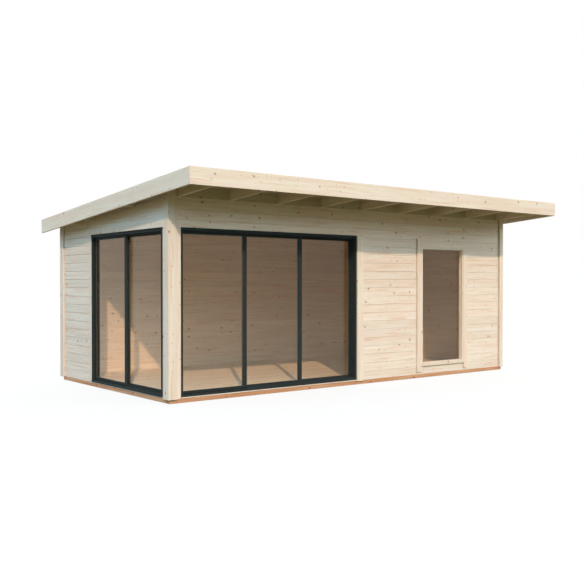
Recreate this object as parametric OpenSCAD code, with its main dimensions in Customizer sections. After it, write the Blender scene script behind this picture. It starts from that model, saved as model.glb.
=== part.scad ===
// Timber garden office with a single-pitch roof, a three-leaf sliding door in the front,
// a two-leaf sliding door in the left side and one fixed window.
// Millimetres. The front faces -Y, the left side faces -X, and the ground is z = 0.

/* [Footprint] */
// Length of the walls along the front
base_l = 5930; // [5500:5:6600]
// Depth of the walls from front to back
base_d = 2955; // [2700:5:3400]
// Height of the beams under the walls
base_h = 50; // [40:1:80]
// Width of the beams under the walls
beam_w = 70; // [60:1:100]
// Width of one floor joist
joist_w = 45; // [30:1:60]
// Number of floor joists
joist_count = 7; // [4:1:10]
// Thickness of the floor boards
floor_t = 18; // [15:1:28]

/* [Walls] */
// Height of the front wall
front_wall_h = 2280; // [2200:1:2400]
// Height of the back wall
back_wall_h = 2052; // [1980:1:2160]
// Thickness of the wall boards
wall_t = 44; // [34:1:58]
// Height of the doorways
door_h = 1938; // [1880:1:1990]

/* [Roof] */
// Reach of the roof in front of the front wall
front_overhang = 820; // [500:5:1100]
// Reach of the roof behind the back wall
back_overhang = 240; // [150:5:400]
// Reach of the roof past each side wall
side_overhang = 225; // [150:5:350]
// Number of rafters
rafter_count = 9; // [7:1:11]
// Width of one rafter
rafter_w = 45; // [35:1:60]
// Height of one rafter
rafter_h = 125; // [110:1:150]
// Distance from the side wall's face to the first rafter
rafter_inset = 107; // [100:1:150]
// Width of a lookout under the side eaves
lookout_w = 45; // [35:1:60]
// Height of a lookout under the side eaves
lookout_h = 125; // [90:1:130]
// Distance of the front lookouts behind the front wall
lookout_front = 790; // [600:5:1000]
// Distance of the back lookouts behind the front wall
lookout_back = 2350; // [2000:5:2500]
// Thickness of the roof boards
deck_t = 19; // [15:1:28]
// Thickness of the roofing felt
felt_t = 4; // [3:1:8]
// Height of the fascia boards
fascia_h = 188; // [180:1:230]
// Thickness of the fascia boards
fascia_t = 28; // [18:1:36]
// Drop of the fascia boards below the rafters
fascia_drop = 24; // [10:1:30]
// Height of the back fascia board
back_fascia_h = 84; // [70:1:110]
// Height of the rafter ends behind the back wall
rafter_tail_h = 45; // [40:1:60]

/* [Trim boards] */
// Thickness of the trim boards on the walls
trim_t = 23; // [15:1:30]
// Width of the corner trim boards
corner_trim_w = 80; // [60:1:100]
// Width of the trim boards at the corner between the doors
door_corner_trim_w = 117; // [80:1:120]
// Width of the back corner trims along the side walls
back_trim_w = 110; // [95:1:130]
// Reach of the back corner trims past the back wall
back_trim_reach = 76; // [20:1:90]
// Height of the lower ends of the trim boards
trim_foot = 44; // [38:1:60]
// Width of the trim board beside the front door
front_door_trim_w = 109; // [80:1:140]
// Width of the trim board beside the side door
side_door_trim_w = 52; // [40:1:80]
// Thickness of the trim board beside the side door
side_door_trim_t = 10; // [8:1:20]
// Width of the shadow slot between wall boards and trim
slot_w = 20; // [10:1:26]
// Depth of the shadow slot between wall boards and trim
slot_d = 20; // [10:1:24]

/* [Doors] */
// Distance from the left corner to the front door's frame
front_door_start = 154; // [150:1:180]
// Width of the front door's frame
front_door_w = 2694; // [2400:2:2750]
// Distance from the front corner to the side door's frame
side_door_start = 146; // [136:1:160]
// Width of the side door's frame
side_door_w = 1884; // [1600:1:1950]
// Width of the jamb's face
jamb_w = 26; // [26:1:40]
// Height of the head's face
head_h = 35; // [25:1:50]
// Height of the sill's face
sill_h = 22; // [20:1:40]
// Recess of the outer sash behind the frame's face
sash_recess = 35; // [20:1:36]
// Thickness of a sash
sash_t = 26; // [22:1:27]
// Gap between two sashes
sash_gap = 6; // [5:0.5:6]
// Width of the uprights where two sashes meet
stile_w = 60; // [45:1:70]
// Width of the uprights at a door's ends
end_stile_w = 35; // [30:1:60]
// Distance from the side door's frame to its meeting uprights
side_meeting = 961; // [800:1:1000]
// Height of a sash's rail
rail_h = 26; // [24:1:60]
// Thickness of the door glass
glass_t = 8; // [4:1:14]
// Reach of the door's threshold in front of the wall
threshold_proud = 8; // [4:1:16]

/* [Window] */
// Distance from the window's clear opening to the right corner
window_right_gap = 939; // [700:1:1500]
// Width of the window's clear opening
window_w = 864; // [700:2:900]
// Height of the window's glass above the ground
window_foot = 212; // [190:1:400]
// Height of the window's glass
window_h = 1631; // [1200:1:1640]
// Width of the window frame's face
window_frame_w = 27; // [20:1:40]
// Depth of the window frame
window_frame_d = 60; // [50:1:80]
// Reach of the window frame in front of the wall
window_frame_proud = 14; // [8:1:20]
// Recess of the window glass behind the wall's face
window_glass_recess = 36; // [20:1:40]
// Thickness of the window glass
window_glass_t = 8; // [4:1:10]
// Width of the trim board left of the window
window_trim_left_w = 89; // [80:1:110]
// Width of the trim board right of the window
window_trim_right_w = 75; // [60:1:90]
// Height of the trim board over the window
window_head_h = 57; // [45:1:65]
// Rise of the trim board left of the window above the one over it
window_left_rise = 88; // [40:1:110]
// Height of the sill board under the window
window_sill_h = 48; // [40:1:60]
// Reach of the sill board in front of the wall
window_sill_proud = 27; // [25:1:45]
// Height of the lower ends of the trims beside the window
window_trim_foot = 85; // [70:1:100]

/* [Hidden] */

// Reach of a cut past the faces that it opens
overrun = 1;
// Fitting gap where timber meets the underside of the rafters and roof boards
seat_clear = 0.2;
// Track guides of the sliding sashes
guide_w = 8;
guide_h = 18;
guide_side_clear = 1.5;
guide_seat_clear = 0.3;
guide_head_clear = 4;
// Depth to which the end sashes enter the jambs, and the room round them there
pocket_in = 15;
pocket_clear = 5;
// Depth of the door frame behind the innermost sash
frame_back = 10;

left_x = -base_l / 2;
right_x = base_l / 2;
roof_d = front_overhang + base_d + back_overhang;
roof_front_y = -roof_d / 2;
roof_back_y = roof_d / 2;
roof_left_x = left_x - side_overhang;
roof_right_x = right_x + side_overhang;
front_y = roof_front_y + front_overhang;
back_y = front_y + base_d;
front_top = base_h + front_wall_h;
back_top = base_h + back_wall_h;
slope = (front_top - back_top) / base_d;
door_foot = base_h + floor_t;
door_top = base_h + door_h;
rafter_pitch = (base_l - 2 * rafter_inset - rafter_w) / (rafter_count - 1);
joist_pitch = (base_l - 2 * beam_w - joist_w) / (joist_count + 1);
track_pitch = sash_t + sash_gap;
front_leaf_count = 3;
side_leaf_count = 2;
jamb_foot = door_foot + sill_h;
jamb_top = door_top - head_h;
sash_foot = jamb_foot + sash_gap;
sash_top = jamb_top - sash_gap;
sash_inset = jamb_w - pocket_in;
front_sash_step = (front_door_w - 2 * sash_inset - stile_w) / front_leaf_count;
side_meet = side_door_start + side_meeting;
window_right = right_x - window_right_gap;
window_left = window_right - window_w;
window_top = window_foot + window_h;
window_frame_left = window_left - window_frame_w;
window_frame_right = window_right + window_frame_w;
window_frame_top = window_top + window_frame_w;
window_head_top = window_top + window_head_h;
window_left_top = window_head_top + window_left_rise;

// Height of the wall tops and rafter undersides at a distance y
function plane_z(y) = front_top - slope * (y - front_y);
// Depth of a door frame that holds a number of tracks
function frame_depth(tracks) = sash_recess + tracks * track_pitch - sash_gap + frame_back;
// Distance of a track's sash behind the wall's face
function track_start(track) = sash_recess + track * track_pitch;
// Left face of a rafter
function rafter_x(i) = left_x + rafter_inset + i * rafter_pitch;

module block(x0, x1, y0, y1, z0, z1) {
    translate([x0, y0, z0]) cube([x1 - x0, y1 - y0, z1 - z0]);
}

// Board that follows the roof's slope between two heights over the wall tops
module slope_prism(x0, x1, y0, y1, low, high) {
    translate([x0, 0, 0]) rotate([90, 0, 90]) linear_extrude(x1 - x0)
        polygon([[y0, plane_z(y0) + low], [y1, plane_z(y1) + low],
            [y1, plane_z(y1) + high], [y0, plane_z(y0) + high]]);
}

// Wall with a level foot and a top that follows the roof's slope
module wall_slab(x0, x1, y0, y1, foot, high) {
    translate([x0, 0, 0]) rotate([90, 0, 90]) linear_extrude(x1 - x0)
        polygon([[y0, foot], [y1, foot], [y1, plane_z(y1) + high], [y0, plane_z(y0) + high]]);
}

// Block placed along a doorway: u runs along the wall and v into the room
module door_block(side, u0, u1, v0, v1, z0, z1) {
    if (side) block(left_x + v0, left_x + v1, front_y + u0, front_y + u1, z0, z1);
    else block(left_x + u0, left_x + u1, front_y + v0, front_y + v1, z0, z1);
}

// Upright slot cut into a wall beside a trim board
module wall_slot(x0, x1, y0, y1, foot, top) {
    block(x0, x1, y0, y1, foot - overrun, top + overrun);
}

module base_beams() {
    color("peru") {
        block(left_x, right_x, front_y, front_y + beam_w, 0, base_h);
        block(left_x, right_x, back_y - beam_w, back_y, 0, base_h);
    }
}

module base_end_beams() {
    color("peru") {
        block(left_x, left_x + beam_w, front_y + beam_w, back_y - beam_w, 0, base_h);
        block(right_x - beam_w, right_x, front_y + beam_w, back_y - beam_w, 0, base_h);
    }
}

module floor_joists() {
    color("tan") for (i = [1 : joist_count]) {
        x = left_x + beam_w + i * joist_pitch;
        block(x, x + joist_w, front_y + beam_w, back_y - beam_w, 0, base_h);
    }
}

module floor_deck() {
    color("burlywood")
        block(left_x + wall_t, right_x - wall_t, front_y + wall_t, back_y - wall_t, base_h, door_foot);
}

// Upright between the two doorways, an L in plan
module front_left_post() {
    color("wheat") translate([left_x, front_y, base_h]) linear_extrude(door_top - base_h)
        polygon([[0, 0], [front_door_start, 0], [front_door_start, wall_t], [wall_t, wall_t],
            [wall_t, side_door_start], [0, side_door_start]]);
}

module front_wall_header() {
    color("wheat")
        wall_slab(left_x, left_x + front_door_start + front_door_w, front_y, front_y + wall_t, door_top,
            -seat_clear);
}

module front_wall_panel() {
    corner_slot = right_x + trim_t - corner_trim_w;
    left_slot = window_frame_left - window_trim_left_w;
    right_slot = window_frame_right + window_trim_right_w;
    color("wheat") difference() {
        wall_slab(left_x + front_door_start + front_door_w, right_x, front_y, front_y + wall_t,
            base_h, -seat_clear);
        block(window_frame_left, window_frame_right, front_y - overrun, front_y + wall_t + overrun,
            window_foot - window_frame_w, window_frame_top);
        wall_slot(corner_slot - slot_w, corner_slot, front_y - overrun, front_y + slot_d, base_h, front_top);
        block(left_slot - slot_w, left_slot, front_y - overrun, front_y + slot_d,
            window_trim_foot, window_left_top);
        block(right_slot, right_slot + slot_w, front_y - overrun, front_y + slot_d,
            window_trim_foot, window_head_top);
    }
}

module left_wall_header() {
    color("wheat")
        wall_slab(left_x, left_x + wall_t, front_y + wall_t, front_y + side_door_start + side_door_w,
            door_top, rafter_h - seat_clear);
}

module left_wall_panel() {
    color("wheat")
        wall_slab(left_x, left_x + wall_t, front_y + side_door_start + side_door_w, back_y - wall_t,
            base_h, rafter_h - seat_clear);
}

module right_wall() {
    front_slot = front_y - trim_t + corner_trim_w;
    color("wheat") difference() {
        wall_slab(right_x - wall_t, right_x, front_y + wall_t, back_y - wall_t,
            base_h, rafter_h - seat_clear);
        wall_slot(right_x - slot_d, right_x + overrun, front_slot, front_slot + slot_w,
            base_h, front_top + rafter_h);
    }
}

module back_wall() {
    left_slot = left_x - trim_t + corner_trim_w;
    right_slot = right_x + trim_t - corner_trim_w;
    color("wheat") difference() {
        wall_slab(left_x, right_x, back_y - wall_t, back_y, base_h, -seat_clear);
        wall_slot(left_slot, left_slot + slot_w, back_y - slot_d, back_y + overrun, base_h, front_top);
        wall_slot(right_slot - slot_w, right_slot, back_y - slot_d, back_y + overrun, base_h, front_top);
    }
}

// Corner trim, an L in plan that wraps a wall corner up to the roof boards. It reaches past the front or
// back wall and covers a width on that wall and on the side wall; sx and sy point outwards
module corner_trim(x, y, sx, sy, reach, front_w, side_w) {
    t = trim_t;
    top = plane_z(y + max(sy * reach, sy * (reach - side_w))) + rafter_h - seat_clear;
    a = sy * reach;
    b = sy * (reach - side_w);
    c = sx * (t - front_w);
    translate([x, y, trim_foot]) linear_extrude(top - trim_foot)
        polygon([[sx * t, a], [sx * t, b], [0, b], [0, 0], [c, 0], [c, a]]);
}

module door_corner_trim() {
    color("wheat") corner_trim(left_x, front_y, -1, -1, trim_t, door_corner_trim_w, door_corner_trim_w);
}

module front_right_corner_trim() {
    color("wheat") corner_trim(right_x, front_y, 1, -1, trim_t, corner_trim_w, corner_trim_w);
}

module back_left_corner_trim() {
    color("wheat") corner_trim(left_x, back_y, -1, 1, back_trim_reach, corner_trim_w, back_trim_w);
}

module back_right_corner_trim() {
    color("wheat") corner_trim(right_x, back_y, 1, 1, back_trim_reach, corner_trim_w, back_trim_w);
}

module door_trims() {
    front_u = front_door_start + front_door_w;
    side_u = side_door_start + side_door_w;
    color("wheat") {
        door_block(false, front_u, front_u + front_door_trim_w, -trim_t, 0, trim_foot, door_top);
        door_block(true, side_u, side_u + side_door_trim_w, -side_door_trim_t, 0, trim_foot, door_top);
    }
}

module door_thresholds() {
    color("cornsilk") {
        door_block(false, front_door_start, front_door_start + front_door_w,
            -threshold_proud, wall_t, base_h, door_foot);
        door_block(true, side_door_start, side_door_start + side_door_w,
            -threshold_proud, wall_t, base_h, door_foot);
    }
}

module window_trim() {
    y0 = front_y - trim_t;
    color("wheat") {
        block(window_frame_left - window_trim_left_w, window_frame_left, y0, front_y,
            window_trim_foot, window_left_top);
        block(window_frame_right, window_frame_right + window_trim_right_w, y0, front_y,
            window_trim_foot, window_head_top);
        block(window_frame_left, window_frame_right, y0, front_y, window_frame_top, window_head_top);
        block(window_frame_left, window_frame_right, front_y - window_sill_proud, front_y,
            window_foot - window_sill_h, window_foot);
    }
}

// The frame's sides and top reach past the wall between the trims, and stand on the sill board there
module window_frame() {
    color("wheat") difference() {
        union() {
            block(window_frame_left, window_frame_right, front_y, front_y + window_frame_d,
                window_foot - window_frame_w, window_frame_top);
            block(window_frame_left, window_frame_right, front_y - window_frame_proud, front_y,
                window_foot, window_frame_top);
        }
        block(window_left, window_right, front_y - window_frame_proud - overrun,
            front_y + window_frame_d + overrun, window_foot, window_top);
    }
}

module window_glass() {
    color("lightblue") block(window_left, window_right, front_y + window_glass_recess,
        front_y + window_glass_recess + window_glass_t, window_foot, window_top);
}

// Track guides along a head or sill, one for each sash
module door_guides(side, start, width, tracks, z0) {
    for (i = [0 : tracks - 1]) {
        middle = track_start(i) + sash_t / 2;
        door_block(side, start + jamb_w, start + width - jamb_w,
            middle - guide_w / 2, middle + guide_w / 2, z0, z0 + guide_h);
    }
}

module door_head(side, start, width, tracks) {
    color("dimgray") union() {
        door_block(side, start, start + width, 0, frame_depth(tracks), jamb_top, door_top);
        door_guides(side, start, width, tracks, jamb_top - guide_h);
    }
}

module door_sill(side, start, width, tracks) {
    color("dimgray") union() {
        door_block(side, start, start + width, 0, frame_depth(tracks), door_foot, jamb_foot);
        door_guides(side, start, width, tracks, jamb_foot);
    }
}

// One jamb with the pocket that takes its sash; dir points from the jamb to the doorway
module door_jamb(side, u, dir, tracks, track) {
    pocket_foot = jamb_w - pocket_in - pocket_clear;
    v = track_start(track);
    face = u + dir * jamb_w;
    bottom = u + dir * pocket_foot;
    difference() {
        door_block(side, min(u, face), max(u, face), 0, frame_depth(tracks), jamb_foot, jamb_top);
        door_block(side, min(bottom, face + dir * overrun), max(bottom, face + dir * overrun),
            v - pocket_clear, v + sash_t + pocket_clear, jamb_foot - overrun, jamb_top + overrun);
    }
}

// Sliding sash: a ring of stiles and rails that straddles the guides above and below it
module door_sash(side, span, stiles, track) {
    v = track_start(track);
    slot0 = v + sash_t / 2 - guide_w / 2 - guide_side_clear;
    slot1 = v + sash_t / 2 + guide_w / 2 + guide_side_clear;
    color("dimgray") difference() {
        door_block(side, span[0], span[1], v, v + sash_t, sash_foot, sash_top);
        door_block(side, span[0] + stiles[0], span[1] - stiles[1], v - overrun, v + sash_t + overrun,
            sash_foot + rail_h, sash_top - rail_h);
        door_block(side, span[0] - overrun, span[1] + overrun, slot0, slot1,
            sash_foot - overrun, jamb_foot + guide_h + guide_seat_clear);
        door_block(side, span[0] - overrun, span[1] + overrun, slot0, slot1,
            jamb_top - guide_h - guide_head_clear, sash_top + overrun);
    }
}

module door_glass(side, span, stiles, track) {
    v = track_start(track) + (sash_t - glass_t) / 2;
    color("lightblue") door_block(side, span[0] + stiles[0], span[1] - stiles[1], v, v + glass_t,
        sash_foot + rail_h, sash_top - rail_h);
}

module front_door_head() { door_head(false, front_door_start, front_door_w, front_leaf_count); }
module front_door_sill() { door_sill(false, front_door_start, front_door_w, front_leaf_count); }
module side_door_head() { door_head(true, side_door_start, side_door_w, side_leaf_count); }
module side_door_sill() { door_sill(true, side_door_start, side_door_w, side_leaf_count); }

module front_door_jambs() {
    color("dimgray") {
        door_jamb(false, front_door_start, 1, front_leaf_count, 0);
        door_jamb(false, front_door_start + front_door_w, -1, front_leaf_count, front_leaf_count - 1);
    }
}

module side_door_jambs() {
    color("dimgray") {
        door_jamb(true, side_door_start, 1, side_leaf_count, side_leaf_count - 1);
        door_jamb(true, side_door_start + side_door_w, -1, side_leaf_count, 0);
    }
}

// The front leaves step inwards from left to right, one track each
function front_sash_u(i) = front_door_start + sash_inset + i * front_sash_step;
// Two ends of a front leaf, and the widths of its uprights there
function front_span(i) = [front_sash_u(i), front_sash_u(i) + front_sash_step + stile_w];
function front_stiles(i) = [i == 0 ? end_stile_w : stile_w,
    i == front_leaf_count - 1 ? end_stile_w : stile_w];
// The side leaf at the front runs on the inner track and the one behind it on the outer
side_front_span = [side_door_start + sash_inset, side_meet + stile_w];
side_back_span = [side_meet, side_door_start + side_door_w - sash_inset];
side_front_stiles = [end_stile_w, stile_w];
side_back_stiles = [stile_w, end_stile_w];

module front_sash_left() { door_sash(false, front_span(0), front_stiles(0), 0); }
module front_sash_middle() { door_sash(false, front_span(1), front_stiles(1), 1); }
module front_sash_right() { door_sash(false, front_span(2), front_stiles(2), 2); }
module front_glass_left() { door_glass(false, front_span(0), front_stiles(0), 0); }
module front_glass_middle() { door_glass(false, front_span(1), front_stiles(1), 1); }
module front_glass_right() { door_glass(false, front_span(2), front_stiles(2), 2); }
module side_sash_front() { door_sash(true, side_front_span, side_front_stiles, 1); }
module side_sash_back() { door_sash(true, side_back_span, side_back_stiles, 0); }
module side_glass_front() { door_glass(true, side_front_span, side_front_stiles, 1); }
module side_glass_back() { door_glass(true, side_back_span, side_back_stiles, 0); }

// Rafters whose undersides rise behind the back wall to leave thinner ends
module rafters() {
    y0 = roof_front_y + fascia_t;
    y1 = roof_back_y - fascia_t;
    color("burlywood") for (i = [0 : rafter_count - 1])
        translate([rafter_x(i), 0, 0]) rotate([90, 0, 90]) linear_extrude(rafter_w)
            polygon([[y0, plane_z(y0)], [back_y, plane_z(back_y)],
                [y1, plane_z(y1) + rafter_h - rafter_tail_h], [y1, plane_z(y1) + rafter_h],
                [y0, plane_z(y0) + rafter_h]]);
}

module lookouts() {
    color("burlywood") for (y = [front_y + lookout_front, front_y + lookout_back]) {
        slope_prism(roof_left_x + fascia_t, left_x, y, y + lookout_w,
            rafter_h - lookout_h, rafter_h - seat_clear);
        slope_prism(right_x, roof_right_x - fascia_t, y, y + lookout_w,
            rafter_h - lookout_h, rafter_h - seat_clear);
    }
}

// Blocks over a wall that close the spaces between the rafters
module eaves_blocking(y0, y1) {
    top = rafter_h - seat_clear;
    last = rafter_x(rafter_count - 1) + rafter_w;
    for (i = [0 : rafter_count - 2])
        slope_prism(rafter_x(i) + rafter_w + seat_clear, rafter_x(i + 1) - seat_clear, y0, y1, 0, top);
    slope_prism(left_x, rafter_x(0) - seat_clear, y0, y1, 0, top);
    slope_prism(last + seat_clear, right_x, y0, y1, 0, top);
}

module front_blocking() { color("wheat") eaves_blocking(front_y, front_y + wall_t); }
module back_blocking() { color("wheat") eaves_blocking(back_y - wall_t, back_y); }

// Sheet that covers the roof inside the fascia boards
module roof_sheet(low, high) {
    slope_prism(roof_left_x + fascia_t, roof_right_x - fascia_t, roof_front_y + fascia_t,
        roof_back_y - fascia_t, low, high);
}

module roof_deck() { color("burlywood") roof_sheet(rafter_h, rafter_h + deck_t); }
module roof_felt() { color("dimgray") roof_sheet(rafter_h + deck_t, rafter_h + deck_t + felt_t); }

module front_fascia() {
    z = plane_z(roof_front_y) - fascia_drop;
    color("wheat") block(roof_left_x, roof_right_x, roof_front_y, roof_front_y + fascia_t, z, z + fascia_h);
}

// The back board fits between the side boards, level with their upper edges
module back_fascia() {
    z = plane_z(roof_back_y) + fascia_h - fascia_drop;
    color("wheat") block(roof_left_x + fascia_t, roof_right_x - fascia_t, roof_back_y - fascia_t, roof_back_y,
        z - back_fascia_h, z);
}

module side_fascias() {
    color("wheat") for (x = [roof_left_x, roof_right_x - fascia_t])
        slope_prism(x, x + fascia_t, roof_front_y + fascia_t, roof_back_y,
            -fascia_drop, fascia_h - fascia_drop);
}

base_beams();
base_end_beams();
floor_joists();
floor_deck();
front_left_post();
front_wall_header();
front_wall_panel();
left_wall_header();
left_wall_panel();
right_wall();
back_wall();
door_corner_trim();
front_right_corner_trim();
back_left_corner_trim();
back_right_corner_trim();
door_trims();
door_thresholds();
window_trim();
window_frame();
window_glass();
front_door_head();
front_door_sill();
front_door_jambs();
front_sash_left();
front_sash_middle();
front_sash_right();
front_glass_left();
front_glass_middle();
front_glass_right();
side_door_head();
side_door_sill();
side_door_jambs();
side_sash_back();
side_sash_front();
side_glass_back();
side_glass_front();
rafters();
lookouts();
front_blocking();
back_blocking();
roof_deck();
roof_felt();
front_fascia();
back_fascia();
side_fascias();
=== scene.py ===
import math
import random

import bmesh
import bpy
from mathutils import Matrix, Vector


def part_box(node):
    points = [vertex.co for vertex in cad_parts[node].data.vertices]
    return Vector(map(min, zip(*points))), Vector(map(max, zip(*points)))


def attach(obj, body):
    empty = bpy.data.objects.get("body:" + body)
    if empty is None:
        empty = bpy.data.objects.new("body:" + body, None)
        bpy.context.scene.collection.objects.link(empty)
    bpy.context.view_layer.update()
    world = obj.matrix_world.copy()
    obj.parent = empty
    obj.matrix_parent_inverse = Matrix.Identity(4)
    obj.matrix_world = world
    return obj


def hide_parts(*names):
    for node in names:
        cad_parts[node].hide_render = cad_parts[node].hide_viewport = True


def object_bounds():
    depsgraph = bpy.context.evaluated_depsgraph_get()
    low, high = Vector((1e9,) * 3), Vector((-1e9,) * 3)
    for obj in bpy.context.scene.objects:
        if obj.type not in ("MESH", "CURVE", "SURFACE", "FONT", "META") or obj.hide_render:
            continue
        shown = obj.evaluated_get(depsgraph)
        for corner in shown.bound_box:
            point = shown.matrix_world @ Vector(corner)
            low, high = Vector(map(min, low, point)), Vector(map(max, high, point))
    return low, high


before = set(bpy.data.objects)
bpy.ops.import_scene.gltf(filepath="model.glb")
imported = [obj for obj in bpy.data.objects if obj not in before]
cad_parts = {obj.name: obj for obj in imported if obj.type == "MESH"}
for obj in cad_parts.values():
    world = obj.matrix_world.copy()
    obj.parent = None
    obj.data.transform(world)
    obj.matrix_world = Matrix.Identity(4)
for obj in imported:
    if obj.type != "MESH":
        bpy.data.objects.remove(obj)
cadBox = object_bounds()
scene = bpy.context.scene
dice = random.Random(41)
tolerance = {"same": 1e-6, "touch": 1e-5, "sliver": 1e-4}
print("frame loaded:", len(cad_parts), "nodes")

# places that several pieces share, read off the frame
frontWallLow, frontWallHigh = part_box("front_wall_panel")
backWallLow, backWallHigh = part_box("back_wall")
rafterLow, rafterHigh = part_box("rafters")
deckLow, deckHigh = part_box("roof_deck")
windowLow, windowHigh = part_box("window_glass")
windowTrimLow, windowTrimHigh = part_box("window_trim")
leftX, rightX = backWallLow.x, backWallHigh.x
frontY, backY = frontWallLow.y, backWallHigh.y
wallThick = frontWallHigh.y - frontWallLow.y
baseTop = backWallLow.z
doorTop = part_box("front_wall_header")[0].z
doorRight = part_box("front_wall_header")[1].x
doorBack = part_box("left_wall_header")[1].y

roofSize = {
    "rafterDeep": 0.125,
    "rafterWide": 0.045,
    "rafterCount": 9,
    "tailDeep": 0.045,
    "lookoutWide": 0.045,
    "deckThick": 0.019,
    "deckCover": 0.0965,
    "seatGap": 0.0002,
    "ease": 0.003,
    "deckEase": 0.004,
    # the blocking's tone is darkened: painted shade for its recess under the eaves
    "blockingPaintedShade": (0.03, -0.24),
    # the roof boards' tone is darkened: painted shade on their undersides between the rafters
    "deckPaintedShade": (0.05, -0.16),
}
slope = (deckHigh.z - deckLow.z - roofSize["deckThick"]) / (deckHigh.y - deckLow.y)
# height of the rafter undersides at y = 0
roofZero = deckHigh.z - roofSize["deckThick"] - roofSize["rafterDeep"] + slope * deckLow.y
roofLean = Matrix(((1, 0, 0, 0), (0, 1, 0, 0), (0, -slope, 1, 0), (0, 0, 0, 1)))
roofNormal = Vector((0, slope, 1)).normalized()


def tint(red, green, blue):
    # a colour picker's 0 to 255 values as the linear colour that nodes take
    def linear(value):
        value /= 255
        return value / 12.92 if value <= 0.04045 else ((value + 0.055) / 1.055) ** 2.4
    return (linear(red), linear(green), linear(blue), 1.0)


class Wire:
    # a socket of a node tree; arithmetic on it adds Math nodes
    def __init__(self, tree, socket=None):
        self.tree = tree
        self.socket = socket

    # any node: its settings are set first, then the values or links of its sockets
    def node(self, kind, settings=None, sockets=None, out=0):
        made = self.tree.nodes.new("ShaderNode" + kind)
        for key, value in (settings or {}).items():
            setattr(made, key, value)
        for key, value in (sockets or {}).items():
            if isinstance(value, Wire):
                self.tree.links.new(value.socket, made.inputs[key])
            else:
                made.inputs[key].default_value = value
        return Wire(self.tree, made.outputs[out]) if made.outputs else None

    def also(self, out):
        return Wire(self.tree, self.socket.node.outputs[out])

    def maths(self, operation, first, second):
        return self.node("Math", {"operation": operation}, {0: first, 1: second})

    def __add__(self, other): return self.maths("ADD", self, other)
    def __radd__(self, other): return self.maths("ADD", other, self)
    def __sub__(self, other): return self.maths("SUBTRACT", self, other)
    def __rsub__(self, other): return self.maths("SUBTRACT", other, self)
    def __mul__(self, other): return self.maths("MULTIPLY", self, other)
    def __rmul__(self, other): return self.maths("MULTIPLY", other, self)
    def __truediv__(self, other): return self.maths("DIVIDE", self, other)
    def __rtruediv__(self, other): return self.maths("DIVIDE", other, self)
    def __pow__(self, other): return self.maths("POWER", self, other)
    def __gt__(self, other): return self.maths("GREATER_THAN", self, other)

    # 0 at low and 1 at high, with soft ends
    def ease(self, low, high):
        return self.node("MapRange", {"interpolation_type": "SMOOTHSTEP"},
                         {"Value": self, "From Min": low, "From Max": high})

    # one colour laid over another by a share
    def blend(self, share, under, over):
        return self.node("Mix", {"data_type": "RGBA"}, {0: share, 6: under, 7: over}, 2)


def newFinish(name):
    finish = bpy.data.materials.new(name)
    finish.use_nodes = True
    finish.node_tree.nodes.clear()
    return finish, Wire(finish.node_tree)


# noises are given as scale along, scale across and detail; spans are where a mark fades in
grainLook = {
    "bands": (0.9, 16, 3), "bandSpan": (0.35, 0.68),
    "streaks": (1.5, 46, 3), "streakSpan": (0.55, 0.7),
    "blush": (0.5, 9, 2), "blushSpan": (0.4, 0.66), "blushShare": 0.35,
    "fine": (5, 240, 2), "noiseRough": 0.6,
    "ringStretch": 0.3, "ringBend": 14.0, "ringDetail": 2.0, "ringDetailScale": 0.3,
    "knotStretch": 0.75, "knotSpan": (0.75, 1.1), "haloSpan": (0.9, 3.4),
    "knotSizes": (0.003, 0.006), "knotShade": 0.85, "haloShade": 0.45,
    "pinsPerKnot": 2.3, "pinSizes": (0.0015, 0.003), "pinShade": 0.8, "pinHaloShade": 0.25,
    "ringHeight": 0.35, "fineHeight": 0.5, "knotHeight": 0.4, "bumpDeep": 0.001,
    "fineRough": 0.16, "knotRough": 0.1, "specular": 0.3,
}


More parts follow.
